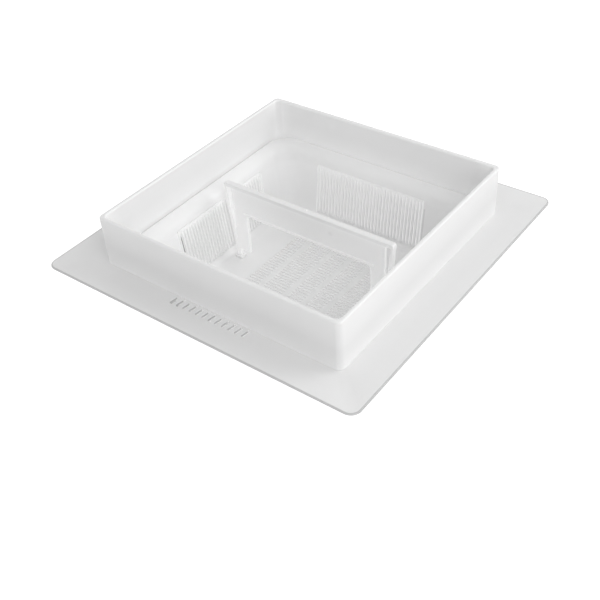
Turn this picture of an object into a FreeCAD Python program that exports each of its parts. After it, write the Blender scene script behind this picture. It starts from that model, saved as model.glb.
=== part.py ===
import FreeCAD, Part
import math
import os

# Square slotted cheese mould: a drained basin, a filling hood that drops over its rim and a
# lift-out divider. Millimetres, +Z up. The origin is the centre of the hood's footprint at the
# level the feet stand on, and X runs along the divider.

# Levels
FOOT_HEIGHT = 8.0
WALL = 3.0
FLOOR_TOP = FOOT_HEIGHT + WALL
CAVITY_DEPTH = 58.0
SKIRT_LEVEL = FLOOR_TOP + CAVITY_DEPTH
RIM_RISE = 10.5
RIM_LEVEL = SKIRT_LEVEL + RIM_RISE
COLLAR_RISE = 48.0
COLLAR_TOP = SKIRT_LEVEL + COLLAR_RISE

# Basin. The hood is loose on the rim and rests against the rear of it, so the basin's own
# centre lies this far behind the hood's.
BASIN_BACK = 2.0
DRAFT = 7.2
CAVITY_HALF = 102.0
CORNER_LOW = 14.0
CORNER_HIGH = 18.0
FLOOR_FILLET = 6.0
SHOULDER_FILLET = 15.0
RIM_HALF = 118.7
RIM_CORNER = 23.0
LIP_THICK = 2.5
LIP_EDGE = 1.2
FLANGE_HALF = 128.5
FLANGE_CORNER = 8.0
FLANGE_THICK = 2.5

# Hood
COLLAR_HALF = 125.0
COLLAR_THICK = 4.0
COLLAR_CORNER_OUT = 5.0
COLLAR_CORNER_IN = 5.0
COLLAR_EDGE = 1.6
SKIRT_HALF = 161.5
SKIRT_CORNER = 9.0
SKIRT_THICK = 2.0
SKIRT_DISH = 5.5
SKIRT_EDGE = 0.8
DRAIN_COUNT = 12
DRAIN_PITCH = 6.9
DRAIN_LENGTH = 10.0
DRAIN_WIDTH = 2.4
DRAIN_CENTRE = 132.0

# Strainers
RIB_PITCH = 3.67
RIB_PROUD = 0.8
RIB_COUNT = 31
SLOT_WIDTH = 1.0
BORDER = 2.6
SIDE_SEAM = 0.8
END_SEAM = 0.05
BACK_FLANGE = 1.2
BACK_OVERLAP = 2.5
STRIP_LOW = -52.9
STRIP_HIGH = 0.5
BACK_HIGH = -2.5
GROOVE_DEPTH = 1.4
SLOT_ROWS = 4
CROSS_BAR = 2.4
SLOT_END = 3.0
RIB_FOOT_TAPER = 3.0
RIB_TOP_TAPER = 9.0
FLOOR_HALF_X = 57.0
FLOOR_BORDER = 1.0
FLOOR_SLOT = 0.9
FLOOR_RIB = 6.0
FLOOR_RIB_X = (-39.0, -11.0, 10.5, 32.5)
FLOOR_RIBS_Y = 33

# Divider and the sockets it stands in
DIVIDER_TOP = SKIRT_LEVEL + 26.5
DIVIDER_FOOT = FLOOR_TOP + 0.3
DIVIDER_HALF_TOP = 93.0
DIVIDER_HALF_FOOT = 85.6
DIVIDER_WEB = 2.8
BAR_EDGE_THICK = 6.0
BAR_EDGE_HIGH = 3.6
BAR_CORNER = 2.5
BAR_ROUND = 1.1
POST_WIDE_TOP = 3.0
POST_WIDE_FOOT = 4.6
POST_THICK_FOOT = 3.2
POST_ROUND = 0.7
POST_SLOT_IN = 83.5
POST_SLOT_LOW = SKIRT_LEVEL - 22.0
LEG_FOOT = SKIRT_LEVEL - 47.0
WINDOW_TOP = SKIRT_LEVEL - 4.4
WINDOW_HALF = 69.0
WINDOW_CORNER = 5.0
SILL_THICK = 4.4
SILL_HIGH = 2.4
SILL_ROUND = 0.9
SILL_HALF = 72.0
SOCKET_GAP = 0.5
SOCKET_WALL = 1.5
SOCKET_HIGH = 3.0

# Feet
FOOT_CENTRE = 70.0
FOOT_HALF = 8.0
FOOT_CORNER = 3.0
FOOT_EDGE = 1.0

SPARE = 2.0
TINY = 0.01
SLOPE = math.tan(math.radians(DRAFT))
SKIN = WALL / math.cos(math.radians(DRAFT))


def vec(x, y, z):
    return FreeCAD.Vector(x, y, z)


def rounded_square(half, radius, z):
    """Closed wire of a square with round corners, centred on the Z axis."""
    flat = half - radius
    up = vec(0, 0, 1)
    edges = []
    for quarter in range(4):
        turn = FreeCAD.Rotation(up, 90.0 * quarter)
        centre = turn.multVec(vec(flat, flat, z))
        start = 90.0 * quarter
        edges.append(Part.makeCircle(radius, centre, up, start, start + 90.0))
        side_from = turn.multVec(vec(flat, half, z))
        side_to = turn.multVec(vec(-flat, half, z))
        edges.append(Part.makeLine(side_from, side_to))
    return Part.Wire(edges)


def prism(half, radius, low, high):
    face = Part.Face(rounded_square(half, radius, low))
    return face.extrude(vec(0, 0, high - low))


def ring(outer, outer_radius, inner, inner_radius, low, high):
    hole = prism(inner, inner_radius, low - SPARE, high + SPARE)
    return prism(outer, outer_radius, low, high).cut(hole)


def drafted_block(low, high):
    """Solid between two levels, each given as (half width, corner radius, z)."""
    return Part.makeLoft([rounded_square(*low), rounded_square(*high)], True, True)


def span_box(low, high):
    """Box between two opposite corners."""
    size = [b - a for a, b in zip(low, high)]
    return Part.makeBox(size[0], size[1], size[2], vec(*low))


def plate_xz(points, y_low, y_high):
    """Flat plate in the XZ plane from a list of (x, z) corners."""
    loop = [vec(x, y_low, z) for x, z in points]
    face = Part.Face(Part.makePolygon(loop + loop[:1]))
    return face.extrude(vec(0, y_high - y_low, 0))


def edges_at(shape, z, reach_low=0.0, reach_high=math.inf):
    """Edges lying in the level z whose ends are reach_low to reach_high from the axes."""
    found = []
    for edge in shape.Edges:
        level = all(abs(v.Point.z - z) < TINY for v in edge.Vertexes)
        reach = max(max(abs(v.Point.x), abs(v.Point.y)) for v in edge.Vertexes)
        if level and reach_low <= reach <= reach_high:
            found.append(edge)
    return found


def cavity_level(z, grow=0.0):
    """Half width, corner radius and level of the drafted cavity at height z."""
    share = (z - FLOOR_TOP) / CAVITY_DEPTH
    radius = CORNER_LOW + share * (CORNER_HIGH - CORNER_LOW)
    half = CAVITY_HALF + (z - SKIRT_LEVEL) * SLOPE
    return (half + grow, radius + grow, z)


def on_wall(shape, quarter):
    """Places a shape made in wall coordinates: x along the wall, y up its slope, z inwards."""
    tilt = FreeCAD.Rotation(vec(1, 0, 0), 90.0 - DRAFT)
    seat = FreeCAD.Placement(vec(0, CAVITY_HALF, SKIRT_LEVEL), tilt)
    turn = FreeCAD.Placement(vec(0, 0, 0), FreeCAD.Rotation(vec(0, 0, 1), 90.0 * quarter))
    placed = shape.copy()
    placed.Placement = turn.multiply(seat)
    return placed


def strainer_half(ribs, slot, border):
    return (ribs * RIB_PITCH + slot) / 2.0 + border


STRIP_HALF = strainer_half(RIB_COUNT, SLOT_WIDTH, BORDER)
FLOOR_HALF_Y = strainer_half(FLOOR_RIBS_Y, FLOOR_SLOT, FLOOR_BORDER)
WALLS = ("rear", "left", "front", "right")


def basin_shell():
    """Drafted tub with a rolled shoulder, a lip that locates the hood and a flange under it."""
    slab_low = RIM_LEVEL - WALL
    outer = drafted_block(cavity_level(FOOT_HEIGHT, SKIN), cavity_level(RIM_LEVEL - TINY, SKIN))
    outer = outer.makeFillet(FLOOR_FILLET + WALL, edges_at(outer, FOOT_HEIGHT))
    body = outer.fuse(prism(RIM_HALF, RIM_CORNER, slab_low, RIM_LEVEL))
    under_edges = edges_at(body, slab_low, reach_high=RIM_HALF - SPARE)
    body = body.makeFillet(SHOULDER_FILLET - WALL, under_edges)
    cavity = drafted_block(cavity_level(FLOOR_TOP), cavity_level(RIM_LEVEL + SPARE))
    cavity = cavity.makeFillet(FLOOR_FILLET, edges_at(cavity, FLOOR_TOP))
    body = body.cut(cavity)
    shoulder = edges_at(body, RIM_LEVEL, reach_high=RIM_HALF - SPARE)
    body = body.makeFillet(SHOULDER_FILLET, shoulder)
    lip_inner = RIM_HALF - LIP_THICK
    lip_corner = RIM_CORNER - LIP_THICK
    flange_top = SKIRT_LEVEL - SKIRT_THICK
    flange_low = flange_top - FLANGE_THICK
    lip = ring(RIM_HALF, RIM_CORNER, lip_inner, lip_corner, flange_low, slab_low + TINY)
    flange = ring(FLANGE_HALF, FLANGE_CORNER, lip_inner, lip_corner, flange_low, flange_top)
    body = body.fuse([lip, flange]).removeSplitter()
    body = body.makeFillet(LIP_EDGE, edges_at(body, RIM_LEVEL, reach_low=RIM_HALF - TINY))
    windows = []
    for quarter in range(len(WALLS)):
        low = (-STRIP_HALF - SIDE_SEAM, STRIP_LOW - END_SEAM, -WALL - SPARE)
        high = (STRIP_HALF + SIDE_SEAM, STRIP_HIGH + END_SEAM, SPARE)
        windows.append(on_wall(span_box(low, high), quarter))
    floor_x = FLOOR_HALF_X + END_SEAM
    floor_y = FLOOR_HALF_Y + END_SEAM
    windows.append(span_box((-floor_x, -floor_y, 0), (floor_x, floor_y, FLOOR_TOP + SPARE)))
    return body.cut(windows)


def rib_crest(x):
    """Crest of one strainer rib in wall coordinates: a shallow barrel, tapered at both ends."""
    half = (RIB_PITCH - SLOT_WIDTH) / 2.0
    sunk = (half ** 2 - RIB_PROUD ** 2) / (2.0 * RIB_PROUD)
    radius = sunk + RIB_PROUD
    low = STRIP_LOW + END_SEAM
    high = STRIP_HIGH - END_SEAM
    outline = []
    for end, taper in ((low, RIB_FOOT_TAPER), (high, -RIB_TOP_TAPER)):
        tip = vec(x + sunk, end, -sunk)
        middle = vec(x + sunk + RIB_PROUD * 0.75, end + taper / 2.0, -sunk)
        full = vec(x + radius, end + taper, -sunk)
        outline.append(Part.Arc(tip, middle, full).toShape())
    low_full = vec(x + radius, low + RIB_FOOT_TAPER, -sunk)
    high_full = vec(x + radius, high - RIB_TOP_TAPER, -sunk)
    low_axis = vec(x, low, -sunk)
    high_axis = vec(x, high, -sunk)
    outline.append(Part.makeLine(low_full, high_full))
    outline.append(Part.makeLine(low_axis, vec(x + sunk, low, -sunk)))
    outline.append(Part.makeLine(high_axis, vec(x + sunk, high, -sunk)))
    outline.append(Part.makeLine(low_axis, high_axis))
    face = Part.Face(Part.Wire(Part.sortEdges(outline)[0]))
    return face.revolve(low_axis, vec(0, 1, 0), 360.0)


def wall_strainer(quarter):
    """Slotted insert: barrelled ribs up the wall, tied by cross bars behind them."""
    plate = span_box((-STRIP_HALF, STRIP_LOW, -WALL), (STRIP_HALF, STRIP_HIGH, 0))
    back_low = (-STRIP_HALF - BACK_OVERLAP, STRIP_LOW - BACK_OVERLAP, -WALL - BACK_FLANGE)
    back_high = (STRIP_HALF + BACK_OVERLAP, BACK_HIGH, -WALL)
    first_slot = -STRIP_HALF + BORDER
    first_rib = first_slot + (SLOT_WIDTH + RIB_PITCH) / 2.0
    crests = [rib_crest(first_rib + rib * RIB_PITCH) for rib in range(RIB_COUNT)]
    insert = plate.fuse([span_box(back_low, back_high)] + crests)
    slot_low = STRIP_LOW + SLOT_END
    slot_high = STRIP_HIGH - SLOT_END
    row = (slot_high - slot_low - (SLOT_ROWS - 1) * CROSS_BAR) / SLOT_ROWS
    cuts = []
    for slot in range(RIB_COUNT + 1):
        left = first_slot + slot * RIB_PITCH
        right = left + SLOT_WIDTH
        cuts.append(span_box((left, slot_low, -GROOVE_DEPTH), (right, slot_high, SPARE)))
        for step in range(SLOT_ROWS):
            low = slot_low + step * (row + CROSS_BAR)
            cuts.append(span_box((left, low, -WALL - SPARE), (right, low + row, -GROOVE_DEPTH)))
    return on_wall(insert.cut(cuts).removeSplitter(), quarter)


def floor_strainer():
    """Slotted floor insert: fine cross slots in bands between lengthwise ribs."""
    plate = span_box((-FLOOR_HALF_X, -FLOOR_HALF_Y, FOOT_HEIGHT), (FLOOR_HALF_X, FLOOR_HALF_Y, FLOOR_TOP))
    reach_x = FLOOR_HALF_X + BACK_OVERLAP
    reach_y = FLOOR_HALF_Y + BACK_OVERLAP
    back = span_box((-reach_x, -reach_y, FOOT_HEIGHT - BACK_FLANGE), (reach_x, reach_y, FOOT_HEIGHT))
    starts = [-FLOOR_HALF_X + FLOOR_BORDER] + [x + FLOOR_RIB / 2.0 for x in FLOOR_RIB_X]
    ends = [x - FLOOR_RIB / 2.0 for x in FLOOR_RIB_X] + [FLOOR_HALF_X - FLOOR_BORDER]
    cuts = []
    for slot in range(FLOOR_RIBS_Y + 1):
        low = -FLOOR_HALF_Y + FLOOR_BORDER + slot * RIB_PITCH
        for left, right in zip(starts, ends):
            cuts.append(span_box((left, low, 0), (right, low + FLOOR_SLOT, FLOOR_TOP + SPARE)))
    return plate.fuse(back).cut(cuts).removeSplitter()


def foot(side_x, side_y):
    """Pad that holds one corner of the slotted floor clear of the table."""
    pad = prism(FOOT_HALF, FOOT_CORNER, 0, FOOT_HEIGHT)
    pad = pad.makeFillet(FOOT_EDGE, edges_at(pad, 0))
    pad.translate(vec(side_x * FOOT_CENTRE, side_y * FOOT_CENTRE, 0))
    return pad


def divider_end(z):
    """Half length of the divider at height z."""
    share = (z - DIVIDER_FOOT) / (DIVIDER_TOP - DIVIDER_FOOT)
    return DIVIDER_HALF_FOOT + share * (DIVIDER_HALF_TOP - DIVIDER_HALF_FOOT)


def mirrored(points):
    """Closed outline from its right half, given from bottom to top."""
    return points + [(-x, z) for x, z in reversed(points)]


def along_y(edge):
    """True for an edge that runs straight through a plate in the XZ plane."""
    first, last = edge.Vertexes[0].Point, edge.Vertexes[-1].Point
    return abs(first.x - last.x) < TINY and abs(first.z - last.z) < TINY


def end_post(side):
    """Tapered upright at one end of the divider, thickest at the top."""
    sections = []
    for z, wide, thick in (
        (DIVIDER_FOOT, POST_WIDE_FOOT, POST_THICK_FOOT),
        (DIVIDER_TOP - BAR_CORNER, POST_WIDE_TOP, BAR_EDGE_THICK),
    ):
        out = side * divider_end(z)
        inner = out - side * wide
        half = thick / 2.0
        loop = [vec(out, -half, z), vec(out, half, z), vec(inner, half, z), vec(inner, -half, z)]
        sections.append(Part.makePolygon(loop + loop[:1]))
    post = Part.makeLoft(sections, True, True)
    long_edges = [e for e in post.Edges if abs(e.Vertexes[0].Point.z - e.Vertexes[-1].Point.z) > SPARE]
    return post.makeFillet(POST_ROUND, long_edges)


def divider():
    """Bridge-shaped partition: thin web, thick top edge, slim end posts and an open window."""
    half_web = DIVIDER_WEB / 2.0
    half_edge = BAR_EDGE_THICK / 2.0
    half_sill = SILL_THICK / 2.0
    edge_low = DIVIDER_TOP - BAR_EDGE_HIGH
    web = plate_xz(
        mirrored([(divider_end(DIVIDER_FOOT), DIVIDER_FOOT), (divider_end(edge_low), edge_low)]),
        -half_web, half_web)
    cuts = []
    window = mirrored([(WINDOW_HALF, DIVIDER_FOOT - SPARE), (WINDOW_HALF, WINDOW_TOP)])
    opening = plate_xz(window, -half_edge, half_edge)
    corners = [e for e in opening.Edges if along_y(e) and e.Vertexes[0].Point.z > DIVIDER_FOOT]
    cuts.append(opening.makeFillet(WINDOW_CORNER, corners))
    foot_in = divider_end(DIVIDER_FOOT) - POST_WIDE_FOOT
    for side in (-1, 1):
        for x_low, x_high, z_low, z_high in (
            (WINDOW_HALF - SPARE, foot_in, DIVIDER_FOOT - SPARE, LEG_FOOT),
            (POST_SLOT_IN, DIVIDER_HALF_TOP, POST_SLOT_LOW, edge_low),
        ):
            near, far = sorted((side * x_low, side * x_high))
            cuts.append(span_box((near, -half_edge, z_low), (far, half_edge, z_high)))
    edge = plate_xz(
        mirrored([(divider_end(edge_low), edge_low), (divider_end(DIVIDER_TOP), DIVIDER_TOP)]),
        -half_edge, half_edge)
    ends = [e for e in edge.Edges if along_y(e) and e.Vertexes[0].Point.z > edge_low + TINY]
    edge = edge.makeFillet(BAR_CORNER, ends)
    upper = [e for e in edge.Edges if max(v.Point.z for v in e.Vertexes) > edge_low + TINY]
    rims = [e for e in upper if abs(e.Vertexes[0].Point.y - e.Vertexes[-1].Point.y) < TINY]
    edge = edge.makeFillet(BAR_ROUND, rims)
    sill = span_box((-SILL_HALF, -half_sill, WINDOW_TOP), (SILL_HALF, half_sill, WINDOW_TOP + SILL_HIGH))
    sill = sill.makeFillet(SILL_ROUND, [e for e in sill.Edges if e.Length > SILL_HALF])
    return web.cut(cuts).fuse([edge, sill, end_post(-1), end_post(1)]).removeSplitter()


def divider_socket(side):
    """Low frame on the floor that one end post of the divider stands in."""
    half = POST_THICK_FOOT / 2.0 + SOCKET_GAP
    near = divider_end(DIVIDER_FOOT) - POST_WIDE_FOOT - SOCKET_GAP
    far = divider_end(DIVIDER_FOOT + SOCKET_HIGH) + SOCKET_GAP
    high = FLOOR_TOP + SOCKET_HIGH
    frame = span_box((near - SOCKET_WALL, -half - SOCKET_WALL, FLOOR_TOP),
                     (far + SOCKET_WALL, half + SOCKET_WALL, high))
    upright = [e for e in frame.Edges if abs(e.Vertexes[0].Point.z - e.Vertexes[-1].Point.z) > TINY]
    frame = frame.makeFillet(SOCKET_WALL, upright)
    frame = frame.cut(span_box((near, -half, FLOOR_TOP - SPARE), (far, half, high + SPARE)))
    if side < 0:
        frame.rotate(vec(0, 0, 0), vec(0, 0, 1), 180.0)
    return frame


def collar():
    """Upstanding square wall of the hood, which holds the loose curd while the basin fills."""
    inner = COLLAR_HALF - COLLAR_THICK
    low = SKIRT_LEVEL - SKIRT_THICK
    body = ring(COLLAR_HALF, COLLAR_CORNER_OUT, inner, COLLAR_CORNER_IN, low, COLLAR_TOP)
    return body.makeFillet(COLLAR_EDGE, edges_at(body, COLLAR_TOP))


def skirt_plate():
    """Shallow dished plate round the collar's foot, with a row of short drain slots in front."""
    foot = (COLLAR_HALF, COLLAR_CORNER_OUT, SKIRT_LEVEL)
    edge_level = SKIRT_LEVEL + SKIRT_DISH
    hollow = drafted_block(foot, (SKIRT_HALF, SKIRT_CORNER, edge_level))
    body = hollow.copy()
    body.translate(vec(0, 0, -SKIRT_THICK))
    body = body.fuse(prism(SKIRT_HALF, SKIRT_CORNER, edge_level - SKIRT_THICK, edge_level))
    hole = prism(COLLAR_HALF, COLLAR_CORNER_OUT, SKIRT_LEVEL - SKIRT_THICK - SPARE, edge_level + SPARE)
    body = body.cut([hollow, hole]).removeSplitter()
    rims = edges_at(body, edge_level, reach_low=SKIRT_HALF - TINY)
    rims += edges_at(body, edge_level - SKIRT_THICK, reach_low=SKIRT_HALF - TINY)
    body = body.makeFillet(SKIRT_EDGE, rims)
    drains = []
    for slot in range(DRAIN_COUNT):
        x = (slot - (DRAIN_COUNT - 1) / 2.0) * DRAIN_PITCH
        low = (x - DRAIN_WIDTH / 2.0, -DRAIN_CENTRE - DRAIN_LENGTH / 2.0, SKIRT_LEVEL - SKIRT_THICK - SPARE)
        high = (x + DRAIN_WIDTH / 2.0, -DRAIN_CENTRE + DRAIN_LENGTH / 2.0, edge_level + SPARE)
        cutter = span_box(low, high)
        upright = [e for e in cutter.Edges if abs(e.Vertexes[0].Point.z - e.Vertexes[1].Point.z) > TINY]
        drains.append(cutter.makeFillet(DRAIN_WIDTH / 2.0 - TINY, upright))
    return body.cut(drains)


def main():
    basin = {
        "basin_shell": basin_shell(),
        "floor_strainer": floor_strainer(),
        "left_divider_socket": divider_socket(-1),
        "right_divider_socket": divider_socket(1),
        "divider": divider(),
    }
    for quarter, wall in enumerate(WALLS):
        basin[wall + "_strainer"] = wall_strainer(quarter)
    for end_name, side_y in (("front", -1), ("rear", 1)):
        for side_name, side_x in (("left", -1), ("right", 1)):
            basin["%s_%s_foot" % (end_name, side_name)] = foot(side_x, side_y)
    for shape in basin.values():
        shape.translate(vec(0, BASIN_BACK, 0))
    shapes = dict(basin, collar=collar(), skirt_plate=skirt_plate())
    os.makedirs("parts", exist_ok=True)
    for name, shape in shapes.items():
        box = shape.BoundBox
        print("%-22s solids %d valid %s volume %8.0f  z %.1f to %.1f" %
              (name, len(shape.Solids), shape.isValid(), shape.Volume, box.ZMin, box.ZMax))
        shape.exportStep("parts/%s.step" % name)


main()
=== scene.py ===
import math

import bpy
from mathutils import Matrix, Vector


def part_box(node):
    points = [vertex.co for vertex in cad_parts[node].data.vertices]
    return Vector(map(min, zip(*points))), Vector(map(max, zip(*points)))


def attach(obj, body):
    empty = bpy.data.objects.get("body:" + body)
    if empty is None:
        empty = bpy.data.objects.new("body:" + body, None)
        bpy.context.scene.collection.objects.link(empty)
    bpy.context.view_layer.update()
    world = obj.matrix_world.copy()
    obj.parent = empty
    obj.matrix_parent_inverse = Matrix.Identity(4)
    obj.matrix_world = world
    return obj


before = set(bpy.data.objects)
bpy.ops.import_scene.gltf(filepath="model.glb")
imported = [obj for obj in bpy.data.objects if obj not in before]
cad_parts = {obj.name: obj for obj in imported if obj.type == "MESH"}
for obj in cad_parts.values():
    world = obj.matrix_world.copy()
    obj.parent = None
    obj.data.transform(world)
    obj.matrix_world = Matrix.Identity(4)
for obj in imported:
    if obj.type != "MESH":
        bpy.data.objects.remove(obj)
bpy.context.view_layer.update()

X_AXIS = (1.0, 0.0, 0.0)
Y_AXIS = (0.0, 1.0, 0.0)
Z_AXIS = (0.0, 0.0, 1.0)
ZERO = (0.0, 0.0, 0.0)
WHITE = (1.0, 1.0, 1.0, 1.0)

# Thickness of the skirt, and levels and sizes taken from the model's parts, in metres like every size below
SKIRT_THICK = 0.002
skirt_low, skirt_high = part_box("skirt_plate")
skirt_level = skirt_low.z + SKIRT_THICK
collar_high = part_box("collar")[1]
bead_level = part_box("divider")[1].z
floor_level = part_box("floor_strainer")[1].z
strip_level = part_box("rear_strainer")[1].z

# Camera: angles in degrees, distance and aim in units of the collar's half width
AZIMUTH = 38.99
ELEVATION = 40.0
ROLL = -3.83
DISTANCE = 5.97
AIM = (0.390, -0.592)
LENS_MM = 54.44
NEAREST_SEEN = 0.01

# Soft boxes: name, place, size, and power in watts
SOFT_BOXES = (
    ("top", (0.1, 0.2, 1.5), 1.0, 1.6),
    ("back_right", (0.9, 0.9, 1.0), 0.9, 6.6),
    ("near_right", (0.75, -0.35, 0.55), 0.5, 1.95),
)
SURROUND_GLOW = 0.82

# Studio floor: it glows less in a soft square under the object, a painted shadow, and fades far away
FLOOR_HALF = 12.0
FLOOR_GREY = 0.35
FLOOR_ROUGH = 0.9
SHADE_HALF = 0.088
SHADE_SOFT = 0.030
SHADED_GLOW = 0.10
OPEN_GLOW = 0.80
BRIGHT_REACH = 2.0
FADED_REACH = FLOOR_HALF / 2
FADED_SHARE = 0.67

# Plastic that all pieces share
GLOSS_SPREAD = (-0.06, 0.08)
BUMP_HEIGHT = 0.0003
SCATTER_DEPTH = 0.0012

# How squarely a face looks along its row, where the painted shade on a rib's flank, and the painted
# shade and painted light on a slot's wall, start and where they are full
FLANK_TURN = (0.25, 0.85)
WALL_TURN = (0.90, 0.97)

# Painted shade on the outer edges of the collar and the skirt: corner radius and width of the edge
COLLAR_CORNER = 0.005
COLLAR_EDGE = 0.0013
SKIRT_CORNER = 0.009
SKIRT_EDGE = 0.0018

# Signs that make places on the left and rear sides positive, where the collar's edge gets painted shade, and
# a height above every piece
LEFT_AND_REAR = (-1.0, 1.0, 1.0)
ANY_HEIGHT = 10.0

# Distance from the origin to a face's plane, along its normal, over which a face turns from inner to outer
# and its painted light and shade change
OUTER_FACES = (-0.06, 0.09)
OUTER_BASIN_FACES = (0.078, 0.092)

# Heights over which one tone of painted shade and highlight turns into another: on either side of the
# skirt's level, above the floor, and below the tops of the divider and the strips
SHOULDER_BLEND = 0.004
FLOOR_BLEND = 0.004
BEAD_BLEND = (0.003, 0.0005)
CROWN_BLEND = (0.008, 0.002)

# Painted shade in the open seams beside the left and rear strips: places and half sizes
LEFT_SEAM_Y = -0.0555
LEFT_SEAM_BELOW = 0.0133
LEFT_SEAM_HALF = (0.006, 0.0005, 0.0095)
REAR_SEAM_BELOW = 0.028
REAR_SEAM_HALF = (0.0005, 0.008, 0.020)
SEAM_SOFT = 0.0006

# Painted shade at the left end of the row of drain slots: centres and half sizes in X and Y
DRAIN_SHADES = (((-0.0374, -0.1345), (0.0009, 0.0026)), ((-0.0305, -0.1368), (0.0007, 0.0006)))
DRAIN_SHADE_HIGH = 0.004
DRAIN_SHADE_SOFT = 0.0004

# Painted shadow along the left side of the basin's rim, where it meets the collar: centre and half size
RIM_LINE = (-0.1185, 0.0, 0.0795)
RIM_LINE_HALF = (0.0010, 0.102, 0.003)
RIM_LINE_SOFT = 0.0008

# Faint scuff on the divider: centre and half size
SCUFF = (0.027, 0.0006, 0.0821)
SCUFF_HALF = (0.0008, 0.0010, 0.0006)
SCUFF_SOFT = 0.0024

# Gate mark on the divider, and its outline from the middle outwards as shares of its radius and height
GATE_RADIUS = 0.0014
GATE_HIGH = 0.0008
GATE_SUNK = 0.0003
GATE_INSET = 0.0020
GATE_RINGS = ((0.45, 0.96), (0.78, 0.74), (0.94, 0.40), (1.0, 0.0))
GATE_SIDES = 24


def link_to_scene(thing):
    """Links a new object to the scene."""
    bpy.context.scene.collection.objects.link(thing)


def make_camera():
    """Camera aimed at a point on the skirt's level, rolled slightly."""
    azimuth, elevation, roll = (math.radians(angle) for angle in (AZIMUTH, ELEVATION, ROLL))
    outwards = math.cos(elevation)
    back = Vector((math.sin(azimuth) * outwards, -math.cos(azimuth) * outwards, math.sin(elevation)))
    level_right = Vector(Z_AXIS).cross(back).normalized()
    level_up = back.cross(level_right)
    right = level_right * math.cos(roll) + level_up * math.sin(roll)
    up = level_up * math.cos(roll) - level_right * math.sin(roll)
    aim = Vector((AIM[0] * collar_high.x, AIM[1] * collar_high.x, skirt_level))
    turn = Matrix((right, up, back)).transposed()
    camera = bpy.data.objects.new("camera", bpy.data.cameras.new("camera"))
    camera.data.lens = LENS_MM
    camera.data.clip_start = NEAREST_SEEN
    camera.matrix_world = Matrix.Translation(aim + back * DISTANCE * collar_high.x) @ turn.to_4x4()
    link_to_scene(camera)
    bpy.context.scene.camera = camera


def grey(level):
    """Opaque grey."""
    return (level, level, level, 1.0)


def add(tree, kind, **values):
    """New shader node with its sockets or properties set by name."""
    node = tree.nodes.new(kind)
    for key, value in values.items():
        socket = key.replace("_", " ").title()
        if socket in node.inputs:
            node.inputs[socket].default_value = value
        else:
            setattr(node, key, value)
    return node


def ramp(tree, value, start, end, low, high):
    """Number that runs from low at start to high at end and stays level outside them."""
    node = add(tree, "ShaderNodeMapRange", from_min=start, from_max=end, to_min=low, to_max=high)
    tree.links.new(value, node.inputs["Value"])
    return node.outputs["Result"]


def product(tree, first, second):
    """Product of two number sockets."""
    node = add(tree, "ShaderNodeMath", operation="MULTIPLY")
    tree.links.new(first, node.inputs[0])
    tree.links.new(second, node.inputs[1])
    return node.outputs["Value"]


def vector_math(tree, operation, first, second=None):
    """Vector operation on a linked input and an optional constant one."""
    node = add(tree, "ShaderNodeVectorMath", operation=operation)
    tree.links.new(first, node.inputs[0])
    if second is not None:
        node.inputs[1].default_value = second
    return node.outputs["Value"] if operation in ("LENGTH", "DOT_PRODUCT") else node.outputs["Vector"]


def scaled(tree, color, gain):
    """Colour socket multiplied by a number socket."""
    node = add(tree, "ShaderNodeVectorMath", operation="SCALE")
    tree.links.new(color, node.inputs[0])
    tree.links.new(gain, node.inputs["Scale"])
    return node.outputs["Vector"]


def height_of(tree, place):
    """Height of a place above the ground."""
    return vector_math(tree, "DOT_PRODUCT", place, Z_AXIS)


def reach_past(tree, offset, half):
    """Distance by which an offset lies outside a box of that half size, past the box's positive sides."""
    beyond = vector_math(tree, "SUBTRACT", offset, half)
    return vector_math(tree, "LENGTH", vector_math(tree, "MAXIMUM", beyond, ZERO))


def square_reach(tree, place, half, corner, sides=None):
    """Reach past the corner centres of a round-cornered square: it equals corner on the outline.

    All four sides count, or only the two where the signs in sides make a place positive.
    """
    folded = vector_math(tree, "MULTIPLY" if sides else "ABSOLUTE", place, sides)
    return reach_past(tree, folded, (half - corner, half - corner, ANY_HEIGHT))


def facing(tree, along):
    """How squarely a face looks along a direction, either way, from 0 to 1."""
    normal = add(tree, "ShaderNodeNewGeometry").outputs["Normal"]
    turned = add(tree, "ShaderNodeMath", operation="ABSOLUTE")
    tree.links.new(vector_math(tree, "DOT_PRODUCT", normal, along), turned.inputs[0])
    return turned.outputs["Value"]


def make_surround():
    """Even white light from all round."""
    world = bpy.data.worlds.new("surround")
    world.use_nodes = True
    background = world.node_tree.nodes["Background"]
    background.inputs["Color"].default_value = WHITE
    background.inputs["Strength"].default_value = SURROUND_GLOW
    bpy.context.scene.world = world


def add_soft_box(name, place, size, power):
    """Square area light aimed at the middle of the object."""
    light = bpy.data.lights.new(name, "AREA")
    light.shape = "SQUARE"
    light.size = size
    light.energy = power
    lamp = bpy.data.objects.new(name, light)
    lamp.location = place
    aim = Vector((0, 0, skirt_level)) - Vector(place)
    lamp.rotation_euler = aim.to_track_quat("-Z", "Y").to_euler()
    link_to_scene(lamp)


def floor_white():
    """Matt floor whose white glow is weak under the object, a painted shadow, and fades far away."""
    material = bpy.data.materials.new("pale_floor")
    material.use_nodes = True
    tree = material.node_tree
    shader = tree.nodes["Principled BSDF"]
    shader.inputs["Base Color"].default_value = grey(FLOOR_GREY)
    shader.inputs["Roughness"].default_value = FLOOR_ROUGH
    shader.inputs["Specular IOR Level"].default_value = 0.0
    shader.inputs["Emission Color"].default_value = WHITE
    place = add(tree, "ShaderNodeTexCoord").outputs["Object"]
    corner = SHADE_HALF / 2
    reach = square_reach(tree, place, SHADE_HALF, corner)
    # Painted shadow: the floor's glow drops in a soft square under the object.
    lit = ramp(tree, reach, corner - SHADE_SOFT, corner, SHADED_GLOW, OPEN_GLOW)
    fading = ramp(tree, vector_math(tree, "LENGTH", place), BRIGHT_REACH, FADED_REACH, 1.0, FADED_SHARE)
    tree.links.new(product(tree, lit, fading), shader.inputs["Emission Strength"])
    return material


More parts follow.
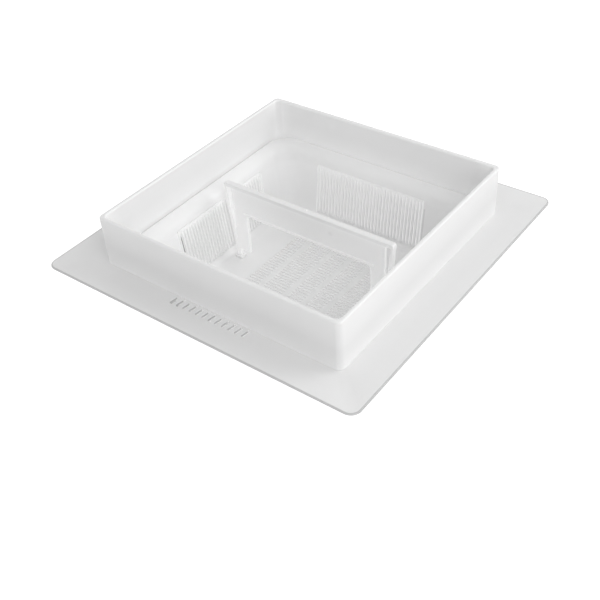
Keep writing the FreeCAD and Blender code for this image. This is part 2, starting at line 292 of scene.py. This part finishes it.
def add_floor():
    """Wide flat sheet that the object stands on."""
    signs = ((-1, -1), (1, -1), (1, 1), (-1, 1))
    mesh = bpy.data.meshes.new("floor")
    mesh.from_pydata([(x * FLOOR_HALF, y * FLOOR_HALF, 0) for x, y in signs], [], [(0, 1, 2, 3)])
    mesh.materials.append(floor_white())
    floor = bpy.data.objects.new("floor", mesh)
    link_to_scene(floor)


def make_studio():
    """White floor and surround, with soft boxes above, behind on the right and near on the right."""
    make_surround()
    for name, place, size, power in SOFT_BOXES:
        add_soft_box(name, place, size, power)
    add_floor()
    bpy.context.scene.view_settings.view_transform = "Standard"


def painted_edge_shade(half, corner, width, level, darkest, sides=None):
    """Painted shade on the top outer edge of a round-cornered square."""
    def build(tree, place):
        reach = square_reach(tree, place, half, corner, sides)
        outer = ramp(tree, reach, corner - width, corner - width / 2, 0.0, 1.0)
        upper = ramp(tree, height_of(tree, place), level - width, level - width / 2, 0.0, 1.0)
        return ramp(tree, product(tree, outer, upper), 0.0, 1.0, 1.0, darkest)
    return build


def painted_level_shading(low, high, under=1.0, over=1.0):
    """Painted shade and highlight: one tone below a level, another above it."""
    return lambda tree, place: ramp(tree, height_of(tree, place), low, high, under, over)


def mark_and_shade_tone(centre, half, soft, darkest):
    """Darker tone where a small box meets the surface, fading out round it; it paints real marks and painted
    shade.
    """
    def build(tree, place):
        offset = vector_math(tree, "ABSOLUTE", vector_math(tree, "SUBTRACT", place, centre))
        return ramp(tree, reach_past(tree, offset, half), 0.0, soft, darkest, 1.0)
    return build


def painted_side_shading(turning, within, outside):
    """Painted light and shade: one tone on faces that look towards the middle of the object, another on
    those that look outwards.
    """
    def build(tree, place):
        normal = add(tree, "ShaderNodeNewGeometry").outputs["Normal"]
        outwards = add(tree, "ShaderNodeVectorMath", operation="DOT_PRODUCT")
        tree.links.new(normal, outwards.inputs[0])
        tree.links.new(place, outwards.inputs[1])
        return ramp(tree, outwards.outputs["Value"], *turning, within, outside)
    return build


def painted_rib_shade(along, flank):
    """Painted shade on the flanks of ribs that stand side by side along a direction."""
    return lambda tree, place: ramp(tree, facing(tree, along), *FLANK_TURN, 1.0, flank)


def painted_slot_shade(along, wall):
    """Painted shade on the walls of slots that lie side by side along a direction."""
    return lambda tree, place: ramp(tree, facing(tree, along), *WALL_TURN, 1.0, wall)


def painted_slot_light(along, strength):
    """Painted light: glow on the walls of slots that lie side by side along a direction."""
    return lambda tree: ramp(tree, facing(tree, along), *WALL_TURN, 0.0, strength)


def painted_corner_light(reach, strength, deepest=0.0):
    """Painted light: glow in corners, strongest where only the share deepest is open."""
    def build(tree):
        openness = add(tree, "ShaderNodeAmbientOcclusion", samples=6, distance=reach)
        return ramp(tree, openness.outputs["AO"], deepest, 1.0, strength, 0.0)
    return build


def moulded_plastic(name, light, dark, rough, cloud_scale, grain_scale, grain, glow, tones=(), coat=0.0):
    """Satin translucent plastic: cloudy tint, fine grain and uneven gloss over scattering white."""
    material = bpy.data.materials.new(name)
    material.use_nodes = True
    tree = material.node_tree
    link = tree.links.new
    shader = tree.nodes["Principled BSDF"]
    place = add(tree, "ShaderNodeTexCoord").outputs["Object"]
    cloud = add(tree, "ShaderNodeTexNoise", scale=cloud_scale, detail=3.0, roughness=0.55)
    link(place, cloud.inputs["Vector"])
    tint = add(tree, "ShaderNodeMix", data_type="RGBA")
    tint.inputs["A"].default_value = grey(dark)
    tint.inputs["B"].default_value = grey(light)
    link(cloud.outputs["Fac"], tint.inputs["Factor"])
    color = tint.outputs["Result"]
    # Each tone multiplies the colour: painted light and shade, and the divider's real scuff.
    for tone in tones:
        color = scaled(tree, color, tone(tree, place))
    link(color, shader.inputs["Base Color"])
    smoothest, roughest = (rough + change for change in GLOSS_SPREAD)
    link(ramp(tree, cloud.outputs["Fac"], 0.0, 1.0, smoothest, roughest), shader.inputs["Roughness"])
    grain_noise = add(tree, "ShaderNodeTexNoise", scale=grain_scale, detail=2.0, roughness=0.6)
    link(place, grain_noise.inputs["Vector"])
    bump = add(tree, "ShaderNodeBump", strength=grain, distance=BUMP_HEIGHT)
    link(grain_noise.outputs["Fac"], bump.inputs["Height"])
    link(bump.outputs["Normal"], shader.inputs["Normal"])
    # The emission is painted light, glowing in corners and on the walls of slots.
    link(glow(tree), shader.inputs["Emission Strength"])
    shader.inputs["Emission Color"].default_value = WHITE
    shader.inputs["IOR"].default_value = 1.5
    shader.inputs["Subsurface Weight"].default_value = 0.8
    shader.inputs["Subsurface Radius"].default_value = (1.0, 1.0, 1.0)
    shader.inputs["Subsurface Scale"].default_value = SCATTER_DEPTH
    shader.inputs["Coat Weight"].default_value = coat
    shader.inputs["Coat Roughness"].default_value = 0.10
    return material


def painted_outer_basin_shade():
    """Painted shade on the outside of the basin and its strips, so that they read against the white floor.
    """
    return painted_side_shading(OUTER_BASIN_FACES, within=1.0, outside=0.80)


def painted_seam_shades():
    """Painted shade in the open seams at the front end of the left strip and at the right end of the rear
    strip.
    """
    left_place = (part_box("left_strainer")[1].x, LEFT_SEAM_Y, skirt_level - LEFT_SEAM_BELOW)
    rear_low, rear_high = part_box("rear_strainer")
    rear_place = (rear_high.x, rear_low.y, skirt_level - REAR_SEAM_BELOW)
    return (mark_and_shade_tone(left_place, LEFT_SEAM_HALF, SEAM_SOFT, darkest=0.25),
            mark_and_shade_tone(rear_place, REAR_SEAM_HALF, SEAM_SOFT, darkest=0.86))


def basin_white():
    """Basin, with painted shade on the shoulder, floor, outside and along the rim, in the two seams, and
    painted light in its corners.
    """
    shoulder = painted_level_shading(skirt_level - SHOULDER_BLEND, skirt_level + SHOULDER_BLEND, over=0.91)
    floor = painted_level_shading(floor_level, floor_level + FLOOR_BLEND, under=0.92)
    rim_shadow = mark_and_shade_tone(RIM_LINE, RIM_LINE_HALF, RIM_LINE_SOFT, darkest=0.84)
    return moulded_plastic(
        "basin_white", light=0.86, dark=0.82, rough=0.55, cloud_scale=22.0, grain_scale=900.0, grain=0.10,
        glow=painted_corner_light(reach=0.02, strength=0.10), coat=0.15,
        tones=(shoulder, floor, painted_outer_basin_shade(), rim_shadow, *painted_seam_shades()))


def strainer_white(node, along, light, flank, painted_slot_glow):
    """Strip or floor panel whose slots lie side by side along a direction, with painted shade on rib flanks
    and slot walls, painted light on the slot walls and a painted highlight on the strips' tops.
    """
    crown_start, crown_end = (strip_level - depth for depth in CROWN_BLEND)
    # Painted highlight on the tops of the strips.
    crown = painted_level_shading(crown_start, crown_end, over=1.06)
    return moulded_plastic(
        node + "_white", light=light, dark=light - 0.04, rough=0.42, cloud_scale=30.0, grain_scale=1200.0,
        grain=0.03, glow=painted_slot_light(along, strength=painted_slot_glow),
        tones=(painted_rib_shade(along, flank), painted_slot_shade(along, wall=0.3), crown, painted_outer_basin_shade(), *painted_seam_shades()))


def socket_white():
    """Sockets that hold the divider's posts, with painted light in their corners."""
    return moulded_plastic(
        "socket_white", light=0.82, dark=0.78, rough=0.55, cloud_scale=22.0, grain_scale=900.0, grain=0.10,
        glow=painted_corner_light(reach=0.01, strength=0.05))


def foot_white():
    """Feet under the floor, a little blotchy and coarse, with painted light in their corners."""
    return moulded_plastic(
        "foot_white", light=0.78, dark=0.70, rough=0.50, cloud_scale=60.0, grain_scale=1200.0, grain=0.20,
        glow=painted_corner_light(reach=0.01, strength=0.10))


def collar_white():
    """Collar, with painted light on its inner faces, painted shade on its outer faces and on the top edge of
    its left and rear sides, and painted light in its corners.
    """
    edge = painted_edge_shade(collar_high.x, COLLAR_CORNER, COLLAR_EDGE, collar_high.z, darkest=0.5,
                     sides=LEFT_AND_REAR)
    return moulded_plastic(
        "collar_white", light=0.735, dark=0.705, rough=0.42, cloud_scale=14.0, grain_scale=700.0, grain=0.15,
        glow=painted_corner_light(reach=0.02, strength=0.22),
        tones=(painted_side_shading(OUTER_FACES, within=1.10, outside=0.96), edge))


def skirt_white():
    """Skirt, with painted shade on its outer edge, on the walls of its drain slots and at the left end of
    their row, and painted light in its corners.
    """
    edge = painted_edge_shade(skirt_high.x, SKIRT_CORNER, SKIRT_EDGE, skirt_high.z, darkest=0.65)
    drain_shades = (mark_and_shade_tone((*centre, skirt_level), (*half, DRAIN_SHADE_HIGH), DRAIN_SHADE_SOFT, darkest=0.2)
             for centre, half in DRAIN_SHADES)
    return moulded_plastic(
        "skirt_white", light=0.70, dark=0.67, rough=0.45, cloud_scale=10.0, grain_scale=800.0, grain=0.15,
        glow=painted_corner_light(reach=0.02, strength=0.08), tones=(edge, painted_slot_shade(X_AXIS, wall=0.62), *drain_shades))


def divider_white():
    """Divider, with a faint scuff, painted shade on the top of its bead and painted light in its corners."""
    scuff = mark_and_shade_tone(SCUFF, SCUFF_HALF, SCUFF_SOFT, darkest=0.92)
    bead_start, bead_end = (bead_level - depth for depth in BEAD_BLEND)
    return moulded_plastic(
        "divider_white", light=0.78, dark=0.75, rough=0.50, cloud_scale=26.0, grain_scale=900.0, grain=0.10,
        glow=painted_corner_light(reach=0.10, strength=0.21, deepest=0.45), coat=0.2,
        tones=(scuff, painted_level_shading(bead_start, bead_end, over=0.89)))


def gate_white():
    """Stub that the moulding gate leaves, with painted light in its corners."""
    return moulded_plastic(
        "gate_white", light=0.78, dark=0.74, rough=0.50, cloud_scale=200.0, grain_scale=1500.0, grain=0.10,
        glow=painted_corner_light(reach=0.004, strength=0.06))


def gate_mesh():
    """Low dome: a middle point, and rings that step down from it."""
    corners = [(0.0, 0.0, GATE_HIGH)]
    for wide, rise in GATE_RINGS:
        radius = wide * GATE_RADIUS
        for side in range(GATE_SIDES):
            turn = 2 * math.pi * side / GATE_SIDES
            corners.append((radius * math.cos(turn), radius * math.sin(turn), rise * GATE_HIGH))
    faces = []
    for side in range(GATE_SIDES):
        after = (side + 1) % GATE_SIDES
        faces.append((0, 1 + side, 1 + after))
        for ring in range(len(GATE_RINGS) - 1):
            inner, outer = 1 + ring * GATE_SIDES, 1 + (ring + 1) * GATE_SIDES
            faces.append((inner + side, outer + side, outer + after, inner + after))
    mesh = bpy.data.meshes.new("divider_gate_mark")
    mesh.from_pydata(corners, [], faces)
    mesh.shade_smooth()
    return mesh


def add_gate_mark():
    """Round stub on the rear side of the divider's top edge, halfway along."""
    low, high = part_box("divider")
    mesh = gate_mesh()
    mesh.materials.append(gate_white())
    stub = bpy.data.objects.new("divider_gate_mark", mesh)
    stub.location = ((low.x + high.x) / 2, high.y - GATE_INSET, high.z - GATE_SUNK)
    link_to_scene(stub)
    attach(stub, "partition")


def dress(node, material):
    """Puts one material on every slot of a CAD node."""
    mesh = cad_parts[node].data
    if not mesh.materials:
        mesh.materials.append(material)
    for index in range(len(mesh.materials)):
        mesh.materials[index] = material


def dress_basin():
    """Dresses the basin shell and all that is fixed to it: strips, floor panel, sockets and feet."""
    dress("basin_shell", basin_white())
    for node, along, flank in (
        ("rear_strainer", X_AXIS, 0.87), ("front_strainer", X_AXIS, 0.87),
        ("left_strainer", Y_AXIS, 0.88), ("right_strainer", Y_AXIS, 0.88),
    ):
        dress(node, strainer_white(node, along, light=0.86, flank=flank, painted_slot_glow=0.55))
    # The floor panel is a darker copy of the strips' plastic: painted shade deep in the basin.
    dress("floor_strainer", strainer_white("floor_strainer", Y_AXIS, light=0.76, flank=1.0, painted_slot_glow=0.41))
    foot, socket = foot_white(), socket_white()
    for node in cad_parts:
        if node.endswith("foot"):
            dress(node, foot)
        elif node.endswith("socket"):
            dress(node, socket)


make_camera()
make_studio()
dress_basin()
dress("collar", collar_white())
dress("skirt_plate", skirt_white())
dress("divider", divider_white())
add_gate_mark()
